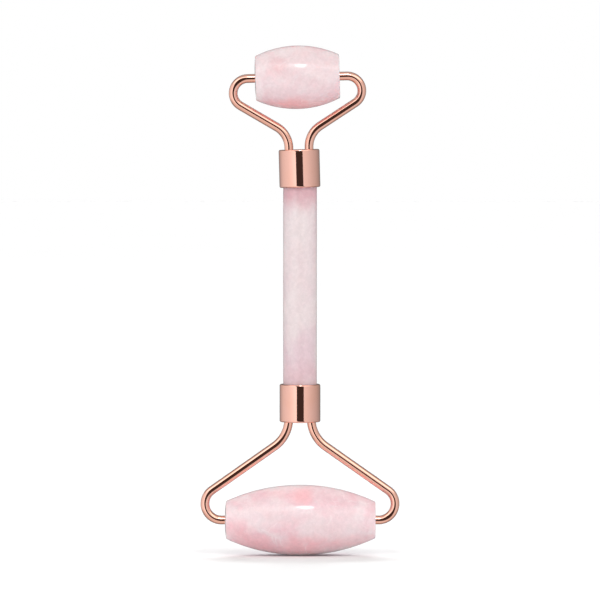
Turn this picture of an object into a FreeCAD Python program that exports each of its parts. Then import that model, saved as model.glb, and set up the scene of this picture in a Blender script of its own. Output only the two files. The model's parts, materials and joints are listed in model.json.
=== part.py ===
import FreeCAD, Part
import math
import os

import Sketcher

# Double-ended stone face roller, standing on its large roller.
# Millimetres and degrees. +Z runs up the handle towards the small roller, +X is the
# rollers' axis direction, and the origin is where the large roller touches the surface.
#
# Each end of the handle carries a "head": a ferrule, its glue, two sprung wire arms, a
# barrel-shaped stone and two bushes. A head is drawn in its own frame, whose origin is the
# middle of the ferrule's mouth and whose +Z points away from the handle.

os.makedirs("parts", exist_ok=True)
doc = FreeCAD.newDocument("FaceRoller")
sheet = doc.addObject("Spreadsheet::Sheet", "dims")

DIMENSIONS = (
    ("handle_radius", 4.8, "ground stone rod"),
    ("handle_exposed", 55.9, "length of rod showing between the two ferrules"),
    ("handle_insert", 5.8, "length of rod inside each ferrule"),
    ("handle_chamfer", 0.3, "broken edge on the rod's ends"),
    ("ferrule_radius", 5.8, "outside of the metal cup"),
    ("ferrule_height", 10.8, "mouth to closed end"),
    ("ferrule_end_wall", 1.2, "thickness of the closed end"),
    ("ferrule_bore_radius", 5.0, "inside of the cup, loose on the rod"),
    ("ferrule_edge_round", 0.45, "radius on the cup's outer edges"),
    ("glue_setback", 0.3, "how far the glue stays below the mouth"),
    ("wire_radius", 1.25, "bent wire of the arms"),
    ("wire_tip_round", 0.3, "rounding on the axle tip"),
    ("leg_hole_radius", 1.35, "hole for a wire leg in the ferrule's end"),
    ("leg_setback", 0.3, "gap between a wire leg and the end of the rod"),
    ("axle_depth", 6.5, "length of wire inside the stone"),
    ("bore_radius", 2.0, "hole drilled through each stone"),
    ("recess_radius", 2.9, "counterbore for the bush's flange"),
    ("recess_depth", 0.8, "depth of that counterbore"),
    ("bush_hole_radius", 1.34, "running fit on the wire"),
    ("bush_length", 8.0, "sleeve of the bush, without its flange"),
    ("flange_radius", 2.8, "flange of the bush"),
    ("flange_thickness", 0.7, "flange of the bush"),
    ("small_tilt", 1.5, "the small head leans this much to the left"),
    ("small_leg_offset", 2.87, "wire leg from the handle's axis"),
    ("small_bend_start", 11.4, "mouth to where the leg starts to spread"),
    ("small_neck_radius", 6.97, "first bend of the arm"),
    ("small_shoulder_radius", 4.15, "second bend of the arm, round to the axle"),
    ("small_reach", 18.26, "furthest the wire's centre gets from the axis"),
    ("small_axis_distance", 31.27, "mouth to the roller's axis"),
    ("small_stone_length", 24.1, "end to end"),
    ("small_belly_radius", 9.02, "largest radius, at the middle"),
    ("small_profile_radius", 27.0, "radius of the barrel's side line"),
    ("small_dome", 0.3, "bulge of the left end"),
    ("small_rim_round", 0.5, "radius on the barrel's end edges"),
    ("large_leg_offset", 3.2, "wire leg from the handle's axis"),
    ("large_bend_start", 9.9, "mouth to where the leg starts to spread"),
    ("large_neck_radius", 9.6, "first bend of the arm"),
    ("large_shoulder_radius", 4.67, "second bend of the arm, round to the axle"),
    ("large_reach", 27.05, "furthest the wire's centre gets from the axis"),
    ("large_axis_distance", 38.76, "mouth to the roller's axis"),
    ("large_stone_length", 42.9, "end to end"),
    ("large_belly_radius", 10.04, "largest radius, at the middle"),
    ("large_profile_radius", 50.0, "radius of the barrel's side line"),
    ("large_dome", 0.45, "bulge of the left end"),
    ("large_rim_round", 0.6, "radius on the barrel's end edges"),
)

HEADS = ("large", "small")
LOWER_MOUTH = "dims.large_axis_distance + dims.large_belly_radius"
UPPER_MOUTH = f"{LOWER_MOUTH} + dims.handle_exposed"
HEAD_FRAME = {
    "large": f"placement(vector(0; 0; {LOWER_MOUTH}); rotation(vector(1; 0; 0); 180))",
    "small": f"placement(vector(0; 0; {UPPER_MOUTH}); rotation(vector(0; 1; 0); -dims.small_tilt))",
}
HALF_TURN = "placement(vector(0; 0; 0); rotation(vector(0; 0; 1); 180))"

ROOT_POINT = (-1, 1)
HORIZONTAL_AXIS = -1
VERTICAL_AXIS = -2
START, END, CENTRE = 1, 2, 3
LENGTH_TOLERANCE = 1e-4
VOLUME_TOLERANCE = 0.01


def fill_sheet():
    """Write every driving dimension, with its alias and meaning."""
    for row, (alias, amount, meaning) in enumerate(DIMENSIONS, start=1):
        sheet.set(f"A{row}", alias)
        sheet.set(f"B{row}", str(amount))
        sheet.set(f"C{row}", meaning)
        sheet.setAlias(f"B{row}", alias)
    doc.recompute()


def value(expression):
    """Current value of an expression on the sheet."""
    return float(sheet.evalExpression(expression.replace("dims.", "")))


def new_body(name, placement):
    """A body whose Label is its file's name, placed by an expression."""
    body = doc.addObject("PartDesign::Body", name)
    body.Label = name
    body.setExpression("Placement", placement)
    return body


def new_sketch(body, name, role, offset=None):
    """A sketch on one of the body's own origin planes, moved along its normal by offset."""
    sketch = body.newObject("Sketcher::SketchObject", name)
    plane = next(item for item in body.Origin.OriginFeatures if item.Role == role)
    sketch.AttachmentSupport = [(plane, "")]
    sketch.MapMode = "FlatFace"
    if offset:
        sketch.setExpression("AttachmentOffset.Base.z", offset)
    return sketch


def bind(sketch, expression, kind, *references):
    """Add a dimension to a sketch and drive it from the sheet."""
    index = sketch.addConstraint(Sketcher.Constraint(kind, *references, value(expression)))
    sketch.setExpression(f"Constraints[{index}]", expression)


def locate(sketch, geometry, position, across, up):
    """Fix a point by two expressions; None keeps it on the axis instead."""
    if across is None:
        sketch.addConstraint(Sketcher.Constraint("PointOnObject", geometry, position, VERTICAL_AXIS))
    else:
        bind(sketch, across, "DistanceX", *ROOT_POINT, geometry, position)
    if up is None:
        sketch.addConstraint(Sketcher.Constraint("PointOnObject", geometry, position, HORIZONTAL_AXIS))
    else:
        bind(sketch, up, "DistanceY", *ROOT_POINT, geometry, position)


def draw_circle(sketch, radius, across=None):
    """A circle on the sketch's horizontal axis."""
    centre = FreeCAD.Vector(value(across) if across else 0, 0, 0)
    circle = sketch.addGeometry(Part.Circle(centre, FreeCAD.Vector(0, 0, 1), value(radius)))
    bind(sketch, radius, "Radius", circle)
    locate(sketch, circle, CENTRE, across, None)


def draw_polygon(sketch, corners):
    """A closed outline of straight lines, every corner fixed by its two expressions."""
    points = [FreeCAD.Vector(value(across), value(up), 0) for across, up in corners]
    lines = []
    for start, end in zip(points, points[1:] + points[:1]):
        lines.append(sketch.addGeometry(Part.LineSegment(start, end)))
    for line, following, (across, up) in zip(lines, lines[1:] + lines[:1], corners[1:] + corners[:1]):
        sketch.addConstraint(Sketcher.Constraint("Coincident", line, END, following, START))
        locate(sketch, line, END, across, up)


def arc_between(centre, first, last):
    """The shorter arc from first to last round a centre, drawn counter-clockwise."""
    angles = [math.atan2(point.y - centre.y, point.x - centre.x) for point in (first, last)]
    if (angles[1] - angles[0]) % (2 * math.pi) > math.pi:
        angles.reverse()
    circle = Part.Circle(centre, FreeCAD.Vector(0, 0, 1), centre.distanceToPoint(first))
    return Part.ArcOfCircle(circle, angles[0], angles[1])


def end_nearest(sketch, geometry, point):
    """Which end of a line or arc lies at the point."""
    at_start = sketch.getPoint(geometry, START).distanceToPoint(point) < LENGTH_TOLERANCE
    return START if at_start else END


def pad(body, name, sketch, length):
    """Extrude a sketch along its normal."""
    feature = body.newObject("PartDesign::Pad", name)
    feature.Profile = sketch
    feature.setExpression("Length", length)
    return feature


def revolve(body, name, sketch):
    """Turn a sketch a full turn about its own horizontal axis."""
    feature = body.newObject("PartDesign::Revolution", name)
    feature.Profile = sketch
    feature.ReferenceAxis = (sketch, ["H_Axis"])
    feature.Angle = 360
    return feature


def pocket(body, name, sketch, length=None):
    """Cut against the sketch's normal by a length, or right through both ways."""
    doc.recompute()
    before = body.Tip.Shape.Volume
    feature = body.newObject("PartDesign::Pocket", name)
    feature.Profile = sketch
    if length:
        feature.setExpression("Length", length)
    else:
        feature.Type = "ThroughAll"
        feature.Midplane = True
    doc.recompute()
    if feature.Shape.Volume > before - VOLUME_TOLERANCE:
        raise RuntimeError(f"{name} cuts nothing")
    return feature


def dress_edges(body, kind, name, base, size, chosen):
    """Fillet or chamfer the edges that the chosen test accepts."""
    doc.recompute()
    numbered = enumerate(base.Shape.Edges, start=1)
    edges = [f"Edge{number}" for number, edge in numbered if chosen(edge)]
    feature = body.newObject(f"PartDesign::{kind}", name)
    feature.Base = (base, edges)
    feature.setExpression("Radius" if kind == "Fillet" else "Size", size)
    return feature


def is_circle(edge, radius):
    """True for a circular edge of that radius."""
    return hasattr(edge.Curve, "Radius") and abs(edge.Curve.Radius - radius) < LENGTH_TOLERANCE


def build_handle():
    """Plain ground rod with lightly broken ends, hidden in the ferrules."""
    body = new_body("handle_rod", f"placement(vector(0; 0; {LOWER_MOUTH} - dims.handle_insert);"
                                  " rotation(vector(0; 0; 1); 0))")
    section = new_sketch(body, "handle_section", "XY_Plane")
    draw_circle(section, "dims.handle_radius")
    rod = pad(body, "handle_pad", section, "dims.handle_exposed + 2 * dims.handle_insert")
    radius = value("dims.handle_radius")
    dress_edges(body, "Chamfer", "handle_ends", rod, "dims.handle_chamfer",
                lambda edge: is_circle(edge, radius))
    return body


def build_ferrule(head):
    """Turned metal cup: the rod goes in at its mouth, the wire legs through its closed end."""
    body = new_body(f"{head}_fork_ferrule", HEAD_FRAME[head])
    outside = new_sketch(body, f"{head}_cup_outside", "XY_Plane")
    draw_circle(outside, "dims.ferrule_radius")
    cup = pad(body, f"{head}_cup_pad", outside, "dims.ferrule_height")
    radius = value("dims.ferrule_radius")
    dress_edges(body, "Fillet", f"{head}_cup_edges", cup, "dims.ferrule_edge_round",
                lambda edge: is_circle(edge, radius))
    floor_height = "dims.ferrule_height - dims.ferrule_end_wall"
    inside = new_sketch(body, f"{head}_cup_inside", "XY_Plane", floor_height)
    draw_circle(inside, "dims.ferrule_bore_radius")
    pocket(body, f"{head}_cup_bore", inside, floor_height)
    holes = new_sketch(body, f"{head}_leg_holes", "XY_Plane")
    for side in ("", "-"):
        draw_circle(holes, "dims.leg_hole_radius", f"{side}dims.{head}_leg_offset")
    pocket(body, f"{head}_leg_hole_cut", holes)
    return body


def slant_from_handle(head):
    """Angle between the handle's axis and the straight run that joins the two bends."""
    neck, shoulder = value(f"dims.{head}_neck_radius"), value(f"dims.{head}_shoulder_radius")
    across = value(f"dims.{head}_reach - dims.{head}_leg_offset") - neck - shoulder
    along = value(f"dims.{head}_axis_distance - dims.{head}_bend_start") - shoulder
    return math.atan2(across, along) + math.asin((neck + shoulder) / math.hypot(across, along))


def draw_arm_path(sketch, head):
    """Centre line of the right arm: leg, neck bend, slant, shoulder bend, axle."""
    neck_radius = f"dims.{head}_neck_radius"
    shoulder_radius = f"dims.{head}_shoulder_radius"
    leg_offset = f"dims.{head}_leg_offset"
    bend_start = f"dims.{head}_bend_start"
    shoulder_across = f"dims.{head}_reach - {shoulder_radius}"
    roller_axis = f"dims.{head}_axis_distance"
    leg_end = "dims.handle_insert + dims.leg_setback"
    axle_tip = f"dims.{head}_stone_length / 2 - dims.axle_depth"

    slant = slant_from_handle(head)
    outward = FreeCAD.Vector(math.cos(slant), -math.sin(slant), 0)
    neck_centre = FreeCAD.Vector(value(f"{leg_offset} + {neck_radius}"), value(bend_start), 0)
    shoulder_centre = FreeCAD.Vector(value(shoulder_across), value(f"{roller_axis} - {shoulder_radius}"), 0)
    corners = [
        FreeCAD.Vector(value(leg_offset), value(leg_end), 0),
        FreeCAD.Vector(value(leg_offset), value(bend_start), 0),
        neck_centre - outward * value(neck_radius),
        shoulder_centre + outward * value(shoulder_radius),
        FreeCAD.Vector(value(shoulder_across), value(roller_axis), 0),
        FreeCAD.Vector(value(axle_tip), value(roller_axis), 0),
    ]
    # the neck's centre is on the outer side of the wire, so its arc runs from leg to slant
    shapes = [
        Part.LineSegment(corners[0], corners[1]),
        arc_between(neck_centre, corners[1], corners[2]),
        Part.LineSegment(corners[2], corners[3]),
        arc_between(shoulder_centre, corners[3], corners[4]),
        Part.LineSegment(corners[4], corners[5]),
    ]
    leg, neck, slope, shoulder, axle = [sketch.addGeometry(shape) for shape in shapes]
    for one, other, joint in zip((leg, neck, slope, shoulder), (neck, slope, shoulder, axle), corners[1:]):
        ends = (end_nearest(sketch, one, joint), end_nearest(sketch, other, joint))
        sketch.addConstraint(Sketcher.Constraint("Tangent", one, ends[0], other, ends[1]))
    sketch.addConstraint(Sketcher.Constraint("Vertical", leg))
    sketch.addConstraint(Sketcher.Constraint("Horizontal", axle))
    locate(sketch, leg, START, leg_offset, leg_end)
    bind(sketch, bend_start, "DistanceY", *ROOT_POINT, leg, END)
    bind(sketch, neck_radius, "Radius", neck)
    bind(sketch, shoulder_radius, "Radius", shoulder)
    bind(sketch, shoulder_across, "DistanceX", *ROOT_POINT, shoulder, CENTRE)
    locate(sketch, axle, END, axle_tip, roller_axis)


def build_arm(head, side):
    """Bent wire. The left arm is the same wire turned half a turn about the handle's axis."""
    frame = HEAD_FRAME[head] if side == "right" else f"{HEAD_FRAME[head]} * {HALF_TURN}"
    name = f"{head}_fork_{side}_arm"
    body = new_body(name, frame)
    path = new_sketch(body, f"{name}_path", "XZ_Plane")
    draw_arm_path(path, head)
    section = new_sketch(body, f"{name}_section", "XY_Plane", "dims.handle_insert + dims.leg_setback")
    draw_circle(section, "dims.wire_radius", f"dims.{head}_leg_offset")
    wire = body.newObject("PartDesign::AdditivePipe", f"{name}_wire")
    wire.Profile = section
    wire.Spine = (path, [])
    tip = value(f"dims.{head}_stone_length / 2 - dims.axle_depth")
    dress_edges(body, "Fillet", f"{name}_tip", wire, "dims.wire_tip_round",
                lambda edge: edge.BoundBox.XMax < tip + LENGTH_TOLERANCE
                and edge.BoundBox.XMin > tip - LENGTH_TOLERANCE)
    return body


def build_glue(head, handle, arms):
    """Cured adhesive: the ferrule's cavity less the rod and the wire legs that stand in it."""
    cavity = doc.addObject("Part::Cylinder", f"{head}_cavity")
    cavity.setExpression("Radius", "dims.ferrule_bore_radius")
    cavity.setExpression("Height", "dims.ferrule_height - dims.ferrule_end_wall - dims.glue_setback")
    cavity.setExpression("Placement", f"{HEAD_FRAME[head]} * placement(vector(0; 0; dims.glue_setback);"
                                      " rotation(vector(0; 0; 1); 0))")
    contents = doc.addObject("Part::MultiFuse", f"{head}_cavity_contents")
    contents.Shapes = [handle, *arms]
    name = f"{head}_fork_epoxy"
    glue = doc.addObject("Part::Cut", name)
    glue.Label = name
    glue.Base = cavity
    glue.Tool = contents
    return glue


def roller_frame(head):
    """Frame on the roller's axis, at its middle."""
    return (f"{HEAD_FRAME[head]} * placement(vector(0; 0; dims.{head}_axis_distance);"
            " rotation(vector(0; 0; 1); 0))")


def draw_barrel(sketch, head):
    """Half section of a barrel: domed left end, bulging side, flat right end, axis."""
    half = f"dims.{head}_stone_length / 2"
    belly, bulge, dome = (f"dims.{head}_{name}" for name in ("belly_radius", "profile_radius", "dome"))
    half_now, bulge_now = value(half), value(bulge)
    side_centre = FreeCAD.Vector(0, value(belly) - bulge_now, 0)

    def on_side(across):
        return FreeCAD.Vector(across, side_centre.y + math.sqrt(bulge_now**2 - across**2), 0)

    left_rim, right_rim = on_side(value(dome) - half_now), on_side(half_now)
    left_apex, right_middle = FreeCAD.Vector(-half_now, 0, 0), FreeCAD.Vector(half_now, 0, 0)
    # a dome of height d on a disc of radius r is part of a sphere of radius (r^2 + d^2) / 2d
    sphere = (left_rim.y**2 + value(dome) ** 2) / (2 * value(dome))
    dome_centre = left_apex + FreeCAD.Vector(sphere, 0, 0)
    end_arc = sketch.addGeometry(arc_between(dome_centre, left_apex, left_rim))
    side_arc = sketch.addGeometry(arc_between(side_centre, left_rim, right_rim))
    end_line = sketch.addGeometry(Part.LineSegment(right_rim, right_middle))
    axis_line = sketch.addGeometry(Part.LineSegment(right_middle, left_apex))

    apex_end = end_nearest(sketch, end_arc, left_apex)
    rim_end = end_nearest(sketch, end_arc, left_rim)
    side_left = end_nearest(sketch, side_arc, left_rim)
    side_right = end_nearest(sketch, side_arc, right_rim)
    for pair in (
        (end_arc, rim_end, side_arc, side_left),
        (side_arc, side_right, end_line, START),
        (end_line, END, axis_line, START),
        (axis_line, END, end_arc, apex_end),
    ):
        sketch.addConstraint(Sketcher.Constraint("Coincident", *pair))
    sketch.addConstraint(Sketcher.Constraint("Vertical", end_line))
    sketch.addConstraint(Sketcher.Constraint("PointOnObject", end_arc, CENTRE, HORIZONTAL_AXIS))
    bind(sketch, bulge, "Radius", side_arc)
    locate(sketch, side_arc, CENTRE, None, f"{belly} - {bulge}")
    locate(sketch, axis_line, START, half, None)
    locate(sketch, axis_line, END, f"-{half}", None)
    bind(sketch, dome, "DistanceX", end_arc, apex_end, end_arc, rim_end)


def build_stone(head):
    """Barrel-shaped stone, drilled through, with a counterbore at each end for its bushes."""
    name = f"{head}_roller_stone"
    body = new_body(name, roller_frame(head))
    profile = new_sketch(body, f"{name}_profile", "XZ_Plane")
    draw_barrel(profile, head)
    barrel = revolve(body, f"{name}_barrel", profile)
    recess_rim = 2 * math.pi * value("dims.recess_radius")
    dress_edges(body, "Fillet", f"{name}_rims", barrel, f"dims.{head}_rim_round",
                lambda edge: edge.isClosed() and edge.Length > recess_rim)
    drill = new_sketch(body, f"{name}_drill", "YZ_Plane")
    draw_circle(drill, "dims.bore_radius")
    pocket(body, f"{name}_bore", drill)
    mouth = new_sketch(body, f"{name}_mouth", "YZ_Plane", f"dims.{head}_stone_length / 2")
    draw_circle(mouth, "dims.recess_radius")
    recess = pocket(body, f"{name}_recess", mouth, "dims.recess_depth")
    both = body.newObject("PartDesign::Mirrored", f"{name}_recesses")
    both.Originals = [recess]
    both.MirrorPlane = (profile, ["V_Axis"])
    body.Tip = both
    return body


def build_bush(head, side):
    """Flanged plastic sleeve pressed into the stone; the left one is turned half a turn."""
    frame = roller_frame(head) if side == "right" else f"{roller_frame(head)} * {HALF_TURN}"
    name = f"{head}_roller_{side}_bush"
    body = new_body(name, frame)
    outline = new_sketch(body, f"{name}_outline", "XZ_Plane")
    seat = f"dims.{head}_stone_length / 2 - dims.recess_depth"
    face = f"{seat} + dims.flange_thickness"
    inner_end = f"{seat} - dims.bush_length"
    draw_polygon(outline, [
        (inner_end, "dims.bush_hole_radius"),
        (face, "dims.bush_hole_radius"),
        (face, "dims.flange_radius"),
        (seat, "dims.flange_radius"),
        (seat, "dims.bore_radius"),
        (inner_end, "dims.bore_radius"),
    ])
    revolve(body, f"{name}_turned", outline)
    return body


def build_head(head, handle):
    """Everything fixed to or turning on one end of the handle."""
    arms = [build_arm(head, side) for side in ("left", "right")]
    bushes = [build_bush(head, side) for side in ("left", "right")]
    return [build_ferrule(head), build_glue(head, handle, arms), *arms, build_stone(head), *bushes]


def check_document():
    """Stop if any object failed to compute."""
    for item in doc.Objects:
        if {"Invalid", "Error"} & set(item.State):
            raise RuntimeError(f"{item.Name} failed: {item.State}")


def check_solid(node):
    """Stop unless the node is one or more sound solids."""
    shape = node.Shape
    if shape.isNull() or not shape.isValid() or not shape.Solids:
        raise RuntimeError(f"{node.Label} is not a valid solid")


def main():
    fill_sheet()
    handle = build_handle()
    nodes = [handle]
    for head in HEADS:
        nodes += build_head(head, handle)
    doc.recompute()
    check_document()
    for node in nodes:
        check_solid(node)
    for node in nodes:
        node.Shape.exportStep(f"parts/{node.Label}.step")
        print(f"{node.Label}: {node.Shape.Volume:.2f} mm3, {len(node.Shape.Solids)} solid")


main()
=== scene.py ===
import json
import math

import bmesh
import bpy
from mathutils import Matrix, Vector, noise


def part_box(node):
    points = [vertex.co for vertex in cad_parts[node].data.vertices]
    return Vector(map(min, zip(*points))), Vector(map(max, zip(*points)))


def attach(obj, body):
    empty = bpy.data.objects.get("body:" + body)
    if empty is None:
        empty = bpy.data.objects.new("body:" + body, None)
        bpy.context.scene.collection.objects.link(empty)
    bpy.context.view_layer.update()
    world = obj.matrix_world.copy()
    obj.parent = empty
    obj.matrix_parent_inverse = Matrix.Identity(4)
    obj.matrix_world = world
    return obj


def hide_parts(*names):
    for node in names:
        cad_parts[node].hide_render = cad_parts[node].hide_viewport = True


# Looks of the double-ended stone face roller. Metres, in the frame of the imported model.
# The large roller lies on the floor, +Z runs up the handle and the rollers turn about +X.
# Turned and bent pieces are rebuilt here as finely divided meshes, because polished metal
# and stone show every facet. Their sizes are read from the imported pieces.

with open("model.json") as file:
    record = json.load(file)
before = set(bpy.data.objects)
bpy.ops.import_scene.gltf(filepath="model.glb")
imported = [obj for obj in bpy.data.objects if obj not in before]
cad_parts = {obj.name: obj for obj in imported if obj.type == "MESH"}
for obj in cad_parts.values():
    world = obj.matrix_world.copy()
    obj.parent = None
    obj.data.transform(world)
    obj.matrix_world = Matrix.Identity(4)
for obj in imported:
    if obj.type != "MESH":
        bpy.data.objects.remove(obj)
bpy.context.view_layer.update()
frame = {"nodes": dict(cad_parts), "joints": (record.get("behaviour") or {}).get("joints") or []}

MM = 0.001
HEADS = ("large", "small")
SIDES = ("left", "right")

ROUND_SEGMENTS = 128
WIRE_SEGMENTS = 48
BUSH_SEGMENTS = 72
HOLE_SEGMENTS = 40
ROUNDING_STEPS = 8
BEND_STEP = math.radians(3)
RUN_STEP = 0.8 * MM
HOLD_GAP = 0.06 * MM
SHARP_ANGLE = math.radians(38)

HANDLE_EDGE = 0.3 * MM
FERRULE_EDGE = 0.45 * MM
FERRULE_BORE = 5.0 * MM
FERRULE_END_WALL = 1.2 * MM
FERRULE_LIP = 0.12 * MM
LEG_HOLE = 1.35 * MM
AXLE_DEPTH = 6.5 * MM
WIRE_TIP = 0.3 * MM
BORE_RADIUS = 2.0 * MM
RECESS_RADIUS = 2.9 * MM
RECESS_DEPTH = 0.8 * MM
RECESS_EDGE = 0.12 * MM
BUSH_HOLE = 1.34 * MM
BUSH_EDGE = 0.12 * MM
FLANGE_THICKNESS = 0.7 * MM

# hand grinding: depth and length of the waves, and where each kind of piece starts in the noise
HANDLE_WAVE = 0.03 * MM
STONE_WAVE = 0.05 * MM
WAVE_LENGTH = 7.0 * MM
HANDLE_SEED = 3.0
STONE_SEED = 5.0

# bends of the wire arms: start of the first bend above the mouth, and both bend radii
BENDS = {
    "large": {"start": 9.9 * MM, "neck": 9.6 * MM, "shoulder": 4.67 * MM},
    "small": {"start": 11.4 * MM, "neck": 6.97 * MM, "shoulder": 4.15 * MM},
}
# barrel of each stone: radius of its side line, height of its domed left end, rounding of its rims
BARRELS = {
    "large": {"side": 50.0 * MM, "dome": 0.45 * MM, "rim": 0.6 * MM},
    "small": {"side": 27.0 * MM, "dome": 0.3 * MM, "rim": 0.5 * MM},
}
DOME_SHARES = (0.25, 0.5, 0.75)


# ---------------------------------------------------------------- reading the frame

def head_frame(joint, ferrule):
    """Frame of one head: origin in the ferrule's mouth, X along the axle, Z away from the handle."""
    centre = Vector(joint["pos_m"])
    axle = Vector(joint["axis"]).normalized()
    points = [vertex.co - centre for vertex in ferrule.data.vertices]
    middle = sum(points, Vector()) / len(points)
    outward = -(middle - axle * middle.dot(axle)).normalized()
    mouth = min(point.dot(outward) for point in points)
    across = outward.cross(axle)
    turned = Matrix((axle, across, outward)).transposed().to_4x4()
    return Matrix.Translation(centre + outward * mouth) @ turned


def local_box(node, matrix):
    """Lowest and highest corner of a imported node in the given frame."""
    inverse = matrix.inverted()
    points = [inverse @ vertex.co for vertex in node.data.vertices]
    low = Vector([min(point[axis] for point in points) for axis in range(3)])
    high = Vector([max(point[axis] for point in points) for axis in range(3)])
    return low, high


# ---------------------------------------------------------------- outlines and meshes

def rounded_line(corners):
    """Outline through corners of (along, radius, rounding), with arcs where rounding isn't 0."""
    line = []
    for index, (along, radius, rounding) in enumerate(corners):
        corner = Vector((along, radius))
        if not rounding:
            line.append(corner)
            continue
        before = (Vector(corners[index - 1][:2]) - corner).normalized()
        after = (Vector(corners[(index + 1) % len(corners)][:2]) - corner).normalized()
        half_angle = before.angle(after) / 2
        reach = rounding / math.tan(half_angle)
        centre = corner + (before + after).normalized() * rounding / math.sin(half_angle)
        first, last = corner + before * reach - centre, corner + after * reach - centre
        line.append(centre + first + before * HOLD_GAP)
        for step in range(ROUNDING_STEPS + 1):
            line.append(centre + first.slerp(last, step / ROUNDING_STEPS).normalized() * rounding)
        line.append(centre + last + after * HOLD_GAP)
    return line


def divided(line, closed):
    """The outline with its long runs cut into steps."""
    ends = line[1:] + line[:1] if closed else line[1:]
    result = []
    for start, end in zip(line, ends):
        steps = max(1, math.ceil((end - start).length / RUN_STEP))
        result += [start.lerp(end, step / steps) for step in range(steps)]
    if not closed:
        result.append(line[-1])
    return result


def add_ring(bm, along, radius, segments, offset=0.0):
    """A ring of vertices about the local X axis, or about a line beside it; one vertex at radius 0."""
    if radius == 0:
        return [bm.verts.new((along, 0, 0))]
    turns = [2 * math.pi * index / segments for index in range(segments)]
    return [bm.verts.new((along, radius * math.cos(turn) + offset, radius * math.sin(turn)))
            for turn in turns]


def join_rings(bm, one, other):
    """Faces between two rings, or a fan from a ring to a single vertex."""
    count = max(len(one), len(other))
    for index in range(count):
        following = (index + 1) % count
        if len(one) == 1:
            bm.faces.new((one[0], other[following], other[index]))
        elif len(other) == 1:
            bm.faces.new((one[index], one[following], other[0]))
        else:
            bm.faces.new((one[index], one[following], other[following], other[index]))


def lathe_mesh(bm, line, closed, segments):
    """Turn an outline of (along, radius) about the local X axis."""
    rings = [add_ring(bm, point.x, point.y, segments) for point in line]
    for one, other in zip(rings, rings[1:]):
        join_rings(bm, one, other)
    if closed:
        join_rings(bm, rings[-1], rings[0])
    return rings


def grind(bm, least_radius, depth, seed):
    """Hand-ground surface: push outer points slightly inward, towards the local X axis."""
    for vertex in bm.verts:
        radius = math.hypot(vertex.co.y, vertex.co.z)
        if radius <= least_radius:
            continue
        wave = noise.noise(vertex.co / WAVE_LENGTH + Vector((seed, 0, 0)))
        share = 1 - depth * (0.5 + 0.5 * wave) / radius
        vertex.co.y *= share
        vertex.co.z *= share


def fill_plate(bm, rim, holes):
    """Flat plate between a rim and the holes inside it."""
    edges = []
    for ring in [rim, *holes]:
        for one, other in zip(ring, ring[1:] + ring[:1]):
            edges.append(bm.edges.get((one, other)) or bm.edges.new((one, other)))
    bmesh.ops.triangle_fill(bm, use_beauty=True, use_dissolve=False, edges=edges)


def finish_mesh(bm, name, matrix, material, body, node):
    """Turn the built mesh into a smooth-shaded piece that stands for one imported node."""
    bmesh.ops.recalc_face_normals(bm, faces=bm.faces)
    mesh = bpy.data.meshes.new(name)
    bm.to_mesh(mesh)
    bm.free()
    mesh.transform(matrix)
    mesh.shade_smooth()
    mesh.set_sharp_from_angle(angle=SHARP_ANGLE)
    mesh.materials.append(material)
    piece = bpy.data.objects.new(name, mesh)
    bpy.context.scene.collection.objects.link(piece)
    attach(piece, body)
    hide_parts(node)
    return piece


# ---------------------------------------------------------------- pieces

def build_handle(material):
    """Ground stone rod: very slightly wavy side and broken ends, hidden in the ferrules."""
    low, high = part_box("handle_rod")
    length = high.z - low.z
    line = rounded_line([
        (0, 0, 0),
        (0, high.x, HANDLE_EDGE),
        (length, high.x, HANDLE_EDGE),
        (length, 0, 0),
    ])
    bm = bmesh.new()
    lathe_mesh(bm, divided(line, closed=False), False, ROUND_SEGMENTS)
    grind(bm, high.x - HANDLE_EDGE, HANDLE_WAVE, HANDLE_SEED)
    upright = Matrix.Translation((0, 0, low.z)) @ Matrix.Rotation(-math.pi / 2, 4, "Y")
    return finish_mesh(bm, "stone_handle", upright, material, "frame", "handle_rod")


def build_ferrule(head, frame_matrix, leg_offset, material):
    """Turned cup with rounded rims; two drilled holes in its closed end let the wire legs in."""
    node = f"{head}_fork_ferrule"
    high = local_box(frame["nodes"][node], frame_matrix)[1]
    height, radius = high.z, high.x
    floor = height - FERRULE_END_WALL
    line = rounded_line([
        (height, radius - 2 * FERRULE_EDGE, 0),
        (height, radius, FERRULE_EDGE),
        (0, radius, FERRULE_EDGE),
        (0, FERRULE_BORE, FERRULE_LIP),
        (floor, FERRULE_BORE, FERRULE_LIP),
        (floor, FERRULE_BORE - 2 * FERRULE_EDGE, 0),
    ])
    bm = bmesh.new()
    rings = lathe_mesh(bm, divided(line, closed=False), False, ROUND_SEGMENTS)
    outer_holes = [add_ring(bm, height, LEG_HOLE, HOLE_SEGMENTS, side * leg_offset) for side in (-1, 1)]
    inner_holes = [add_ring(bm, floor, LEG_HOLE, HOLE_SEGMENTS, side * leg_offset) for side in (-1, 1)]
    for outer, inner in zip(outer_holes, inner_holes):
        join_rings(bm, outer, inner)
    fill_plate(bm, rings[0], outer_holes)
    fill_plate(bm, rings[-1], inner_holes)
    # the outline is turned about X with the holes beside it in Y; stand it up with the holes along X
    upright = Matrix(((0, 1, 0), (0, 0, 1), (1, 0, 0))).to_4x4()
    return finish_mesh(bm, f"{head}_ferrule_cup", frame_matrix @ upright, material, "frame",
                       node)


def arc_points(centre, start, end, radius):
    """Points of an arc from start to end round a centre, without its first point."""
    first, last = start - centre, end - centre
    steps = math.ceil(first.angle(last) / BEND_STEP)
    return [centre + first.slerp(last, step / steps).normalized() * radius for step in range(1, steps + 1)]


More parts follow.
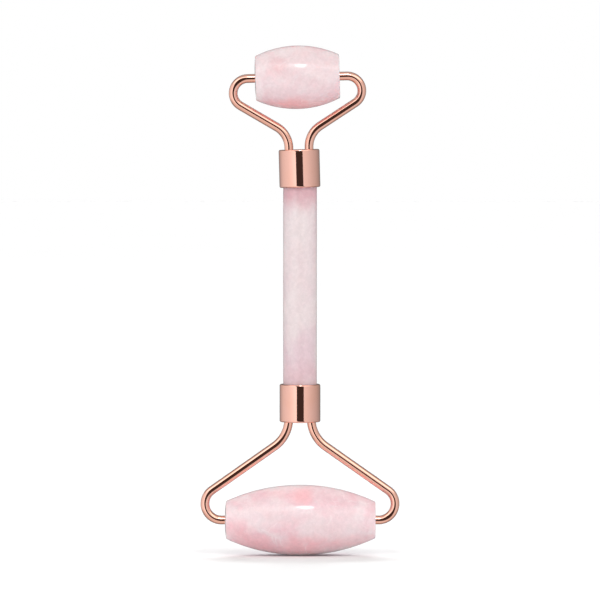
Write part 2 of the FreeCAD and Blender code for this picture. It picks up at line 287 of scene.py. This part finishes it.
def arm_path(head, leg_offset, leg_end, reach, axis_distance, axle_tip):
    """Centre line of the right arm in its head's frame: leg, neck, slant, shoulder, axle."""
    bends = BENDS[head]
    neck, shoulder = bends["neck"], bends["shoulder"]
    neck_centre = Vector((leg_offset + neck, 0, bends["start"]))
    shoulder_centre = Vector((reach - shoulder, 0, axis_distance - shoulder))
    between = shoulder_centre - neck_centre
    slant = math.atan2(between.x, between.z) + math.asin((neck + shoulder) / between.length)
    outward = Vector((math.cos(slant), 0, -math.sin(slant)))
    bend_start = Vector((leg_offset, 0, bends["start"]))
    axle_start = Vector((reach - shoulder, 0, axis_distance))
    path = [Vector((leg_offset, 0, leg_end)), bend_start]
    path += arc_points(neck_centre, bend_start, neck_centre - outward * neck, neck)
    path.append(shoulder_centre + outward * shoulder)
    path += arc_points(shoulder_centre, path[-1], axle_start, shoulder)
    path.append(Vector((axle_tip, 0, axis_distance)))
    return path


def wire_ring(bm, centre, along, radius):
    """Ring of vertices across a wire whose path lies in its frame's XZ plane."""
    sideways = Vector((along.z, 0, -along.x))
    turns = [2 * math.pi * index / WIRE_SEGMENTS for index in range(WIRE_SEGMENTS)]
    return [bm.verts.new(centre + (sideways * math.cos(turn) + Vector((0, 1, 0)) * math.sin(turn)) * radius)
            for turn in turns]


def build_arm(head, side, frame_matrix, stone_half, material):
    """Bent wire, swept round its bends, with a rounded axle tip."""
    node = f"{head}_fork_{side}_arm"
    turn = Matrix.Rotation(math.pi if side == "left" else 0, 4, "Z")
    low, high = local_box(frame["nodes"][node], frame_matrix @ turn)
    wire = high.y
    corners = arm_path(head, low.x + wire, low.z, high.x - wire, high.z - wire, stone_half - AXLE_DEPTH)
    path = divided(corners, closed=False)
    bm = bmesh.new()
    rings = []
    for index, point in enumerate(path):
        along = (path[min(index + 1, len(path) - 1)] - path[max(index - 1, 0)]).normalized()
        rings.append(wire_ring(bm, point, along, wire))
    tip, along = path[-1], (path[-1] - path[-2]).normalized()
    # the last ring steps back so that the rounded tip ends where the wire does
    for vertex in rings[-1]:
        vertex.co -= along * WIRE_TIP
    for step in range(1, ROUNDING_STEPS + 1):
        lean = math.pi / 2 * step / ROUNDING_STEPS
        centre = tip - along * WIRE_TIP * (1 - math.sin(lean))
        rings.append(wire_ring(bm, centre, along, wire - WIRE_TIP * (1 - math.cos(lean))))
    for one, other in zip(rings, rings[1:]):
        join_rings(bm, one, other)
    bm.faces.new(rings[0])
    bm.faces.new(rings[-1])
    return finish_mesh(bm, f"{head}_{side}_wire", frame_matrix @ turn, material, "frame",
                       node)


def build_stone(head, roller_matrix, half, belly, material):
    """Hand-ground barrel: domed left end, flat right end, drilled and counterbored."""
    shape = BARRELS[head]
    drop = belly - shape["side"]

    def side_radius(along):
        return drop + math.sqrt(shape["side"] ** 2 - along ** 2)

    left, right = shape["dome"] - half, half
    left_radius = side_radius(left)
    sphere = (left_radius ** 2 + shape["dome"] ** 2) / (2 * shape["dome"])

    def dome_face(radius):
        return sphere - half - math.sqrt(sphere ** 2 - radius ** 2)

    steps = math.ceil((right - left - 4 * shape["rim"]) / RUN_STEP)
    first, last = left + 2 * shape["rim"], right - 2 * shape["rim"]
    sides = [first + (last - first) * step / steps for step in range(steps + 1)]
    dome_radii = [RECESS_RADIUS + (left_radius - RECESS_RADIUS) * share for share in DOME_SHARES]
    corners = [
        (RECESS_DEPTH - half, BORE_RADIUS, 0),
        (RECESS_DEPTH - half, RECESS_RADIUS, 0),
        (dome_face(RECESS_RADIUS), RECESS_RADIUS, RECESS_EDGE),
        *[(dome_face(radius), radius, 0) for radius in dome_radii],
        (left, left_radius, shape["rim"]),
        *[(along, side_radius(along), 0) for along in sides],
        (right, side_radius(right), shape["rim"]),
        (right, RECESS_RADIUS, RECESS_EDGE),
        (half - RECESS_DEPTH, RECESS_RADIUS, 0),
        (half - RECESS_DEPTH, BORE_RADIUS, 0),
    ]
    bm = bmesh.new()
    lathe_mesh(bm, divided(rounded_line(corners), closed=True), True, ROUND_SEGMENTS)
    grind(bm, RECESS_RADIUS + 2 * RECESS_EDGE, STONE_WAVE, STONE_SEED)
    return finish_mesh(bm, f"{head}_stone", roller_matrix, material, f"{head}_roller",
                       f"{head}_roller_stone")


def build_bush(head, side, roller_matrix, material):
    """Moulded sleeve whose flange sits in the stone's counterbore."""
    node = f"{head}_roller_{side}_bush"
    turn = Matrix.Rotation(math.pi if side == "left" else 0, 4, "Z")
    low, high = local_box(frame["nodes"][node], roller_matrix @ turn)
    seat = high.x - FLANGE_THICKNESS
    line = rounded_line([
        (low.x, BUSH_HOLE, BUSH_EDGE),
        (high.x, BUSH_HOLE, BUSH_EDGE),
        (high.x, high.z, BUSH_EDGE),
        (seat, high.z, BUSH_EDGE),
        (seat, BORE_RADIUS, 0),
        (low.x, BORE_RADIUS, BUSH_EDGE),
    ])
    bm = bmesh.new()
    lathe_mesh(bm, divided(line, closed=True), True, BUSH_SEGMENTS)
    return finish_mesh(bm, f"{head}_{side}_bush", roller_matrix @ turn, material, f"{head}_roller",
                       node)


# ---------------------------------------------------------------- material helpers

def start_material(name):
    """A material with its node tree, its Principled shader and object coordinates."""
    material = bpy.data.materials.new(name)
    material.use_nodes = True
    tree = material.node_tree
    shader = tree.nodes["Principled BSDF"]
    position = tree.nodes.new("ShaderNodeTexCoord").outputs["Object"]
    return material, tree, shader, position


def add_node(tree, kind, inputs, **settings):
    """A node with its settings made and its inputs linked or set."""
    made = tree.nodes.new(kind)
    for key, setting in settings.items():
        setattr(made, key, setting)
    for key, source in inputs.items():
        if isinstance(source, bpy.types.NodeSocket):
            tree.links.new(source, made.inputs[key])
        else:
            made.inputs[key].default_value = source
    return made


def add_noise(tree, position, size, detail=3.0, roughness=0.5, distortion=0.0):
    """Noise from 0 to 1 whose features are about as large as size."""
    made = add_node(tree, "ShaderNodeTexNoise", {
        "Vector": position,
        "Scale": 1 / size,
        "Detail": detail,
        "Roughness": roughness,
        "Distortion": distortion,
    })
    return made.outputs["Fac"]


def add_range(tree, source, start, end, low=0.0, high=1.0):
    """The source from start to end, smoothly stretched to low to high."""
    made = add_node(tree, "ShaderNodeMapRange", {
        "Value": source,
        "From Min": start,
        "From Max": end,
        "To Min": low,
        "To Max": high,
    }, interpolation_type="SMOOTHSTEP")
    return made.outputs["Result"]


def add_math(tree, operation, *values):
    """One of the maths operations on numbers."""
    return add_node(tree, "ShaderNodeMath", dict(enumerate(values)), operation=operation).outputs[0]


def add_vector_math(tree, operation, *values):
    """One of the maths operations on vectors; a length comes out as a number."""
    made = add_node(tree, "ShaderNodeVectorMath", dict(enumerate(values)), operation=operation)
    return made.outputs["Value" if operation == "LENGTH" else "Vector"]


def add_mix(tree, factor, one, other, blend="MIX"):
    """Mix of two colours."""
    made = tree.nodes.new("ShaderNodeMix")
    made.data_type = "RGBA"
    made.blend_type = blend
    sockets = {socket.identifier: socket for socket in made.inputs}
    for key, source in (("Factor_Float", factor), ("A_Color", one), ("B_Color", other)):
        if isinstance(source, bpy.types.NodeSocket):
            tree.links.new(source, sockets[key])
        else:
            sockets[key].default_value = source if key == "Factor_Float" else (*source, 1)
    return next(socket for socket in made.outputs if socket.identifier == "Result_Color")


def add_bump(tree, shader, height, distance, strength):
    """Bump from a height of 0 to 1."""
    made = add_node(tree, "ShaderNodeBump", {"Height": height, "Distance": distance, "Strength": strength})
    tree.links.new(made.outputs["Normal"], shader.inputs["Normal"])


# ---------------------------------------------------------------- materials

QUARTZ_IOR = 1.544
QUARTZ_GLOW = (1.0, 0.62, 0.58)
QUARTZ_GLOW_DEPTH = 5.0 * MM
CLOUD_SIZE = 9.0 * MM
WISP_SIZE = 2.6 * MM
RAG_SIZE = 5.0 * MM
CRACK_BEND = 6.0 * MM
CRACK_SPACING = 13.0 * MM
CRACK_WIDTH = 0.022
PATCH_EDGE = 1.9
PATCH_CORE = 0.9
MOTTLE_SIZE = 1.2 * MM
GRAIN_SIZE = 0.5 * MM
GRAIN_RELIEF = 0.006 * MM


def rose_quartz(name, tones, stretch, patches_and_shade):
    """Polished rose quartz: milky clouds, deeper pink patches that are partly painted shade, healed cracks
    and fine grain.
    """
    material, tree, shader, position = start_material(name)
    drawn_out = add_node(tree, "ShaderNodeMapping", {"Vector": position, "Scale": stretch})
    place = drawn_out.outputs["Vector"]

    clouds = add_noise(tree, place, CLOUD_SIZE, detail=5.0, roughness=0.55, distortion=0.6)
    milk = add_range(tree, clouds, 0.38, 0.66)
    colour = add_mix(tree, milk, tones["pink"], tones["milk"])
    wisps = add_noise(tree, place, WISP_SIZE, detail=6.0, roughness=0.62, distortion=1.4)
    wisp_share = add_range(tree, wisps, 0.5, 0.78, high=0.55)
    colour = add_mix(tree, wisp_share, colour, tones["milk"])

    ragged = add_noise(tree, position, RAG_SIZE, detail=4.0)
    # deep pink ovals at the stones' undersides and by the ferrules on the handle are painted shade; the
    # other ovals are clouds in the stone
    for tone, centre, size, share in patches_and_shade:
        mask = patch_and_shade_mask(tree, position, ragged, centre, size, share)
        colour = add_mix(tree, mask, colour, tones[tone])
    faint_cracks = add_math(tree, "MULTIPLY", crack_mask(tree, position, ragged), tones["cracks"])
    colour = add_mix(tree, faint_cracks, colour, tones["crack"])

    grain = add_noise(tree, position, GRAIN_SIZE, detail=3.0, roughness=0.6)
    mottle = add_noise(tree, position, MOTTLE_SIZE, detail=4.0, roughness=0.6, distortion=0.5)
    grain_light = add_range(tree, grain, 0.35, 0.7, low=0.485, high=0.515)
    mottle_light = add_range(tree, mottle, 0.35, 0.68, low=0.455, high=0.525)
    colour = add_mix(tree, 1.0, colour, add_math(tree, "ADD", grain_light, mottle_light), blend="MULTIPLY")
    tree.links.new(colour, shader.inputs["Base Color"])

    polish = add_range(tree, wisps, 0.3, 0.75, low=0.075, high=0.15)
    tree.links.new(polish, shader.inputs["Roughness"])
    add_bump(tree, shader, grain, GRAIN_RELIEF, 0.25)
    shader.inputs["IOR"].default_value = QUARTZ_IOR
    shader.inputs["Specular IOR Level"].default_value = 0.4
    shader.inputs["Subsurface Weight"].default_value = tones["depth"]
    shader.inputs["Subsurface Radius"].default_value = QUARTZ_GLOW
    shader.inputs["Subsurface Scale"].default_value = QUARTZ_GLOW_DEPTH
    return material


def patch_and_shade_mask(tree, position, ragged, centre, size, share):
    """Share of a patch's tone, for cloudy patches and for patches of painted shade alike: full in the middle
    of its oval, gone past its ragged edge.
    """
    middle = [place_mm * MM for place_mm in centre]
    shrink = [1 / (side_mm * MM) for side_mm in size]
    offset = add_vector_math(tree, "SUBTRACT", position, middle)
    distance = add_vector_math(tree, "LENGTH", add_vector_math(tree, "MULTIPLY", offset, shrink))
    torn = add_math(tree, "ADD", distance, ragged)
    return add_range(tree, torn, PATCH_EDGE, PATCH_CORE, high=share)


def crack_mask(tree, position, ragged):
    """Thin bent sheets that come and go, as healed cracks do."""
    bend = add_node(tree, "ShaderNodeTexNoise", {"Vector": position, "Scale": 1 / CRACK_BEND, "Detail": 2.0})
    bent = add_vector_math(tree, "MULTIPLY_ADD", bend.outputs["Color"], (CRACK_BEND,) * 3, position)
    cells = add_node(tree, "ShaderNodeTexVoronoi", {"Vector": bent, "Scale": 1 / CRACK_SPACING},
                     feature="DISTANCE_TO_EDGE")
    thin = add_range(tree, cells.outputs["Distance"], 0.0, CRACK_WIDTH, low=1.0, high=0.0)
    broken = add_range(tree, ragged, 0.5, 0.62)
    return add_math(tree, "MULTIPLY", thin, broken)


# share of each channel where the plating drifts warmer and paler
WARM_PLATING = (1.0, 0.97, 0.94)
PALE_PLATING = (1.01, 1.03, 1.06)
DRIFT_SIZE = 7.0 * MM
HAZE_SIZE = 2.2 * MM
DRAWN_LINE_SIZE = 0.35 * MM


def rose_gold(name, colour, brushing, relief):
    """Polished plated metal: faint colour drift, fine drawing marks and hazy wipe marks."""
    material, tree, shader, position = start_material(name)
    drift = add_noise(tree, position, DRIFT_SIZE, detail=3.0)
    warm = [channel * scale for channel, scale in zip(colour, WARM_PLATING)]
    pale = [channel * scale for channel, scale in zip(colour, PALE_PLATING)]
    plated = add_mix(tree, add_range(tree, drift, 0.3, 0.7), warm, pale)
    tree.links.new(plated, shader.inputs["Base Color"])
    lines = add_node(tree, "ShaderNodeMapping", {"Vector": position, "Scale": brushing})
    drawn = add_noise(tree, lines.outputs["Vector"], DRAWN_LINE_SIZE, detail=2.0)
    haze = add_noise(tree, position, HAZE_SIZE, detail=5.0, roughness=0.65)
    wiped = add_range(tree, haze, 0.35, 0.75, low=0.045, high=0.10)
    tree.links.new(wiped, shader.inputs["Roughness"])
    add_bump(tree, shader, drawn, relief, 0.15)
    shader.inputs["Metallic"].default_value = 1.0
    return material


NYLON_IOR = 1.53
NYLON_SHADE = (0.80, 0.76, 0.72)
NYLON_LIGHT = (0.90, 0.87, 0.83)
NYLON_GLOW = (1.0, 0.9, 0.8)
NYLON_GLOW_DEPTH = 0.6 * MM
NYLON_MOTTLE_SIZE = 1.5 * MM
NYLON_TEXTURE_SIZE = 0.12 * MM
NYLON_RELIEF = 0.01 * MM


def nylon(name):
    """Milky moulded plastic with a fine matt texture."""
    material, tree, shader, position = start_material(name)
    mottle = add_noise(tree, position, NYLON_MOTTLE_SIZE, detail=3.0)
    tint = add_mix(tree, add_range(tree, mottle, 0.35, 0.65), NYLON_SHADE, NYLON_LIGHT)
    tree.links.new(tint, shader.inputs["Base Color"])
    texture = add_noise(tree, position, NYLON_TEXTURE_SIZE, detail=2.0)
    tree.links.new(add_range(tree, texture, 0.3, 0.7, low=0.34, high=0.48), shader.inputs["Roughness"])
    add_bump(tree, shader, texture, NYLON_RELIEF, 0.4)
    shader.inputs["IOR"].default_value = NYLON_IOR
    shader.inputs["Subsurface Weight"].default_value = 0.2
    shader.inputs["Subsurface Radius"].default_value = NYLON_GLOW
    shader.inputs["Subsurface Scale"].default_value = NYLON_GLOW_DEPTH
    return material


GLUE_IOR = 1.5
GLUE_SHADE = (0.62, 0.45, 0.36)
GLUE_LIGHT = (0.78, 0.64, 0.54)
GLUE_SWIRL_SIZE = 1.8 * MM
GLUE_RELIEF = 0.05 * MM


def cured_glue(name):
    """Amber-tinted cured adhesive with a slightly uneven, glossy skin."""
    material, tree, shader, position = start_material(name)
    swirl = add_noise(tree, position, GLUE_SWIRL_SIZE, detail=4.0, distortion=0.8)
    tint = add_mix(tree, add_range(tree, swirl, 0.3, 0.7), GLUE_SHADE, GLUE_LIGHT)
    tree.links.new(tint, shader.inputs["Base Color"])
    tree.links.new(add_range(tree, swirl, 0.3, 0.7, low=0.12, high=0.28), shader.inputs["Roughness"])
    add_bump(tree, shader, swirl, GLUE_RELIEF, 0.5)
    shader.inputs["IOR"].default_value = GLUE_IOR
    return material


# ---------------------------------------------------------------- stage

FLOOR_RINGS = (0.02, 0.1, 0.4, 1.5, 6.0)
FLOOR_SHADE = (0.852, 0.860, 0.874)
FLOOR_LIGHT = (0.862, 0.870, 0.884)
FLOOR_CLOUD_SIZE = 0.4
CAMERA_PLACE = Vector((0, -1.5, 0.126))
CAMERA_AIM = Vector((0, 0, 0.0727))
CAMERA_LENS = 316.8
SENSOR_WIDTH = 36
LIGHT_DISTANCE = 1.3
WINDOW_STRENGTH = 1.9
WINDOW_SPREAD = math.radians(30)
WINDOW_TILT = math.radians(-49)


def build_floor():
    """Plain pale disc under the large roller; polished pieces mirror the light tent instead of it."""
    material, tree, shader, position = start_material("pale_floor")
    tone = add_noise(tree, position, FLOOR_CLOUD_SIZE, detail=2.0)
    colour = add_mix(tree, tone, FLOOR_SHADE, FLOOR_LIGHT)
    tree.links.new(colour, shader.inputs["Base Color"])
    shader.inputs["Roughness"].default_value = 0.9
    shader.inputs["Specular IOR Level"].default_value = 0.0
    bm = bmesh.new()
    rings = [[bm.verts.new((0, 0, 0))]]
    for radius in FLOOR_RINGS:
        turns = [2 * math.pi * index / ROUND_SEGMENTS for index in range(ROUND_SEGMENTS)]
        rings.append([bm.verts.new((radius * math.cos(turn), radius * math.sin(turn), 0)) for turn in turns])
    for one, other in zip(rings, rings[1:]):
        join_rings(bm, one, other)
    bmesh.ops.recalc_face_normals(bm, faces=bm.faces)
    mesh = bpy.data.meshes.new("floor")
    bm.to_mesh(mesh)
    bm.free()
    mesh.materials.append(material)
    floor = bpy.data.objects.new("floor", mesh)
    bpy.context.scene.collection.objects.link(floor)
    floor.visible_glossy = False


# brightness of the tent's walls by degrees round the object: from straight behind it, through
# its left, the camera's side at 180 and its right
TENT = (
    (0, 0.15),
    (15, 0.20),
    (30, 0.38),
    (50, 0.60),
    (70, 0.80),
    (96, 0.92),
    (117, 0.99),
    (135, 1.12),
    (153, 1.30),
    (180, 1.34),
    (204, 0.94),
    (222, 0.88),
    (241, 0.78),
    (261, 0.68),
    (286, 0.57),
    (310, 0.42),
    (330, 0.30),
    (345, 0.18),
    (360, 0.15),
)
TENT_GAIN = 2.0

# light of the tent's other parts, and of the backdrop that the camera sees instead of the tent
ROOF_FRONT = (1.05, 1.03, 1.00)
ROOF_BACK = (0.30, 0.29, 0.28)
PANEL = (2.0, 1.95, 1.85)
ZENITH = (0.60, 0.60, 0.60)
BELOW_FRONT = (0.84, 0.80, 0.78)
BELOW_BACK = (0.32, 0.30, 0.29)
OPENING = (0.055, 0.04, 0.035)
BACKDROP = (1.0, 1.0, 1.0)

# the dark opening is an oval round the camera's direction, this wide and tall from its middle,
# which leans to the left as it rises
OPENING_SHRINK = (1 / math.sin(math.radians(20)), 0, 1 / math.sin(math.radians(34)))
OPENING_LEAN = 0.5


def tent_walls(tree, across, backwards):
    """Light of the tent's walls, which changes only round the object."""
    azimuth = add_math(tree, "ARCTAN2", across, backwards)
    turn = add_math(tree, "MULTIPLY_ADD", azimuth, 0.5 / math.pi, 0.5)
    ramp = add_node(tree, "ShaderNodeValToRGB", {"Fac": turn})
    elements = ramp.color_ramp.elements
    while len(elements) < len(TENT):
        elements.new(0.5)
    for element, (degrees, light) in zip(elements, TENT):
        element.position = degrees / 360
        element.color = (*[light / TENT_GAIN] * 3, 1)
    return add_mix(tree, 1.0, ramp.outputs["Color"], (TENT_GAIN,) * 3, blend="MULTIPLY")


def tent_opening(tree, across, backwards, height):
    """Share of the dark opening: 1 inside its oval on the camera's side."""
    leaning = add_math(tree, "MULTIPLY_ADD", height, OPENING_LEAN, across)
    place = add_node(tree, "ShaderNodeCombineXYZ", {"X": leaning, "Z": height}).outputs["Vector"]
    reach = add_vector_math(tree, "LENGTH", add_vector_math(tree, "MULTIPLY", place, OPENING_SHRINK))
    inside = add_range(tree, reach, 1.04, 0.96)
    facing = add_range(tree, backwards, 0.0, 0.1)
    return add_math(tree, "MULTIPLY", inside, facing)


def build_world():
    """Light tent with a bright roof panel and a dark opening on the camera's side, dim at the back."""
    world = bpy.data.worlds.new("light_tent")
    world.use_nodes = True
    bpy.context.scene.world = world
    tree = world.node_tree
    direction = tree.nodes.new("ShaderNodeTexCoord").outputs["Generated"]
    parts = add_node(tree, "ShaderNodeSeparateXYZ", {"Vector": direction})
    across, forwards, height = (parts.outputs[axis] for axis in "XYZ")
    backwards = add_math(tree, "MULTIPLY", forwards, -1.0)
    to_back = add_range(tree, forwards, -0.35, 0.45)

    colour = tent_walls(tree, across, backwards)
    roof = add_range(tree, height, 0.42, 0.50)
    colour = add_mix(tree, roof, colour, add_mix(tree, to_back, ROOF_FRONT, ROOF_BACK))
    panel_front = add_range(tree, backwards, 0.25, 0.40)
    panel_low = add_range(tree, height, 0.44, 0.52)
    colour = add_mix(tree, add_math(tree, "MULTIPLY", panel_front, panel_low), colour, PANEL)
    colour = add_mix(tree, add_range(tree, height, 0.72, 0.88), colour, ZENITH)
    below = add_range(tree, height, -0.25, -0.5)
    colour = add_mix(tree, below, colour, add_mix(tree, to_back, BELOW_FRONT, BELOW_BACK))
    colour = add_mix(tree, tent_opening(tree, across, backwards, height), colour, OPENING)
    seen = tree.nodes.new("ShaderNodeLightPath").outputs["Is Camera Ray"]
    colour = add_mix(tree, seen, colour, BACKDROP)
    tree.links.new(colour, tree.nodes["Background"].inputs["Color"])


def add_softbox(name, azimuth, elevation, width, height, power, mirrored):
    """Oval light aimed at the middle of the object; azimuth 0 is the camera's side."""
    light = bpy.data.lights.new(name, "AREA")
    light.shape = "ELLIPSE"
    light.size = width
    light.size_y = height
    light.energy = power
    lamp = bpy.data.objects.new(name, light)
    bpy.context.scene.collection.objects.link(lamp)
    turn, rise = math.radians(azimuth), math.radians(elevation)
    outward = Vector((math.sin(turn) * math.cos(rise), -math.cos(turn) * math.cos(rise), math.sin(rise)))
    lamp.location = CAMERA_AIM + outward * LIGHT_DISTANCE
    lamp.rotation_mode = "QUATERNION"
    lamp.rotation_quaternion = outward.to_track_quat("Z", "Y")
    lamp.visible_camera = False
    lamp.visible_glossy = mirrored


def add_window_light():
    """Broad far light from above and behind, which lays the soft shadow towards the camera."""
    light = bpy.data.lights.new("window", "SUN")
    light.energy = WINDOW_STRENGTH
    light.angle = WINDOW_SPREAD
    lamp = bpy.data.objects.new("window", light)
    bpy.context.scene.collection.objects.link(lamp)
    lamp.rotation_mode = "XYZ"
    lamp.rotation_euler = (WINDOW_TILT, 0, 0)
    lamp.visible_glossy = False


def build_camera():
    """Long lens at the front, a little above the middle of the handle."""
    camera = bpy.data.cameras.new("camera")
    camera.lens = CAMERA_LENS
    camera.sensor_width = SENSOR_WIDTH
    camera.clip_start = 0.1
    camera.clip_end = 50
    holder = bpy.data.objects.new("camera", camera)
    bpy.context.scene.collection.objects.link(holder)
    holder.location = CAMERA_PLACE
    holder.rotation_mode = "QUATERNION"
    holder.rotation_quaternion = (CAMERA_AIM - CAMERA_PLACE).to_track_quat("-Z", "Y")
    bpy.context.scene.camera = holder


# ---------------------------------------------------------------- the scene

# colours of each stone, share of its healed cracks and weight of the light inside it; the deep pink tone is
# the stone's own colour in its clouds and painted shade at its underside and, on the handle, by the ferrules
HANDLE_TONES = {
    "pink": (0.66, 0.515, 0.56),
    "milk": (0.72, 0.635, 0.645),
    "deep_pink_and_shade": (0.62, 0.375, 0.415),
    "crack": (0.82, 0.72, 0.71),
    "cracks": 0.12,
    "depth": 0.35,
}
HANDLE_STRETCH = (1.0, 1.0, 0.45)
ROLLER_STRETCH = (1.0, 1.0, 1.0)
ROLLER_TONES = {
    "large": {
        "pink": (0.78, 0.545, 0.595),
        "milk": (0.81, 0.69, 0.715),
        "deep_pink_and_shade": (0.87, 0.465, 0.50),
        "crack": (0.88, 0.80, 0.81),
        "cracks": 0.36,
        "depth": 0.75,
    },
    "small": {
        "pink": (0.73, 0.53, 0.565),
        "milk": (0.76, 0.65, 0.67),
        "deep_pink_and_shade": (0.76, 0.42, 0.44),
        "crack": (0.82, 0.75, 0.76),
        "cracks": 0.30,
        "depth": 0.75,
    },
}

# cloudy places in each stone, and places of painted shade: tone, centre and half-sizes in mm, and share of
# the tone
PATCHES_AND_SHADE = {
    "handle": (
        ("milk", (0, -5, 84), (12, 9, 14), 0.7),
        ("milk", (-2, -5, 68), (8, 9, 7), 0.5),
        # painted shade on the handle where it enters each ferrule
        ("deep_pink_and_shade", (0, -2, 105), (14, 14, 6), 0.95),
        ("deep_pink_and_shade", (0, -2, 48), (14, 14, 7), 0.45),
    ),
    "large": (
        ("milk", (-10, -10, 12), (9, 6, 4), 0.8),
        ("milk", (12, -9, 10), (12, 6, 5), 0.6),
        ("milk", (6, 9, 8), (9, 6, 5), 0.6),
        ("deep_pink_and_shade", (0.5, -8, 18), (3.5, 6, 3), 0.6),
        ("deep_pink_and_shade", (-7, -7, 18), (4, 5, 1.5), 0.25),
        # the deep ovals low on the stone, at heights of 2.5 to 4 mm, are painted shade along its underside
        ("deep_pink_and_shade", (1, -7, 2.5), (9, 8, 4), 0.6),
        ("deep_pink_and_shade", (-14, -6, 3.5), (8, 6, 3.5), 0.5),
        ("deep_pink_and_shade", (-18, -6, 8), (4, 5, 3), 0.3),
        ("deep_pink_and_shade", (14, -6, 4), (7, 6, 2.5), 0.35),
        ("deep_pink_and_shade", (-6, 8, 12), (8, 5, 5), 0.5),
    ),
    "small": (
        ("milk", (4, -7, 139), (6, 5, 4), 0.6),
        ("milk", (-5, -8, 133), (7, 5, 3), 0.5),
        # painted shade along the underside of the small stone
        ("deep_pink_and_shade", (-1, -5, 127.5), (10, 7, 2.5), 0.9),
        ("deep_pink_and_shade", (-6, -7, 139), (3, 4, 3), 0.25),
        ("deep_pink_and_shade", (5, 6, 138), (6, 5, 5), 0.5),
    ),
}

# plating of the wires and of the ferrules: colour, stretch of the drawing marks and their relief
WIRE_PLATING = ((0.92, 0.52, 0.41), (1.0, 1.0, 1.0), 0.0003 * MM)
FERRULE_PLATING = ((0.92, 0.52, 0.42), (1.0, 1.0, 6.0), 0.0006 * MM)

joints = {joint["child"]: joint for joint in frame["joints"]}

handle_quartz = rose_quartz("rose_quartz_handle", HANDLE_TONES, HANDLE_STRETCH, PATCHES_AND_SHADE["handle"])
wire_metal = rose_gold("rose_gold_wire", *WIRE_PLATING)
ferrule_metal = rose_gold("rose_gold_ferrule", *FERRULE_PLATING)
bush_plastic = nylon("bush_nylon")
glue = cured_glue("clear_epoxy")

build_handle(handle_quartz)
for head in HEADS:
    joint = joints[f"{head}_roller"]
    stone_node = frame["nodes"][f"{head}_roller_stone"]
    mouth = head_frame(joint, frame["nodes"][f"{head}_fork_ferrule"])
    roller = mouth.copy()
    roller.translation = Vector(joint["pos_m"])
    stone_size = local_box(stone_node, roller)[1]
    arm_low, arm_high = local_box(frame["nodes"][f"{head}_fork_right_arm"], mouth)
    build_ferrule(head, mouth, arm_low.x + arm_high.y, ferrule_metal)
    quartz = rose_quartz(f"rose_quartz_{head}", ROLLER_TONES[head], ROLLER_STRETCH, PATCHES_AND_SHADE[head])
    build_stone(head, roller, stone_size.x, stone_size.z, quartz)
    for side in SIDES:
        build_arm(head, side, mouth, stone_size.x, wire_metal)
        build_bush(head, side, roller, bush_plastic)
    for material_slot in frame["nodes"][f"{head}_fork_epoxy"].material_slots:
        material_slot.material = glue

build_floor()
build_world()
add_softbox("key", azimuth=4.5, elevation=45, width=0.28, height=0.32, power=2.2, mirrored=True)
add_softbox("fill", azimuth=0, elevation=5, width=1.0, height=0.7, power=1.7, mirrored=False)
add_window_light()
build_camera()
bpy.context.scene.view_settings.view_transform = "Standard"
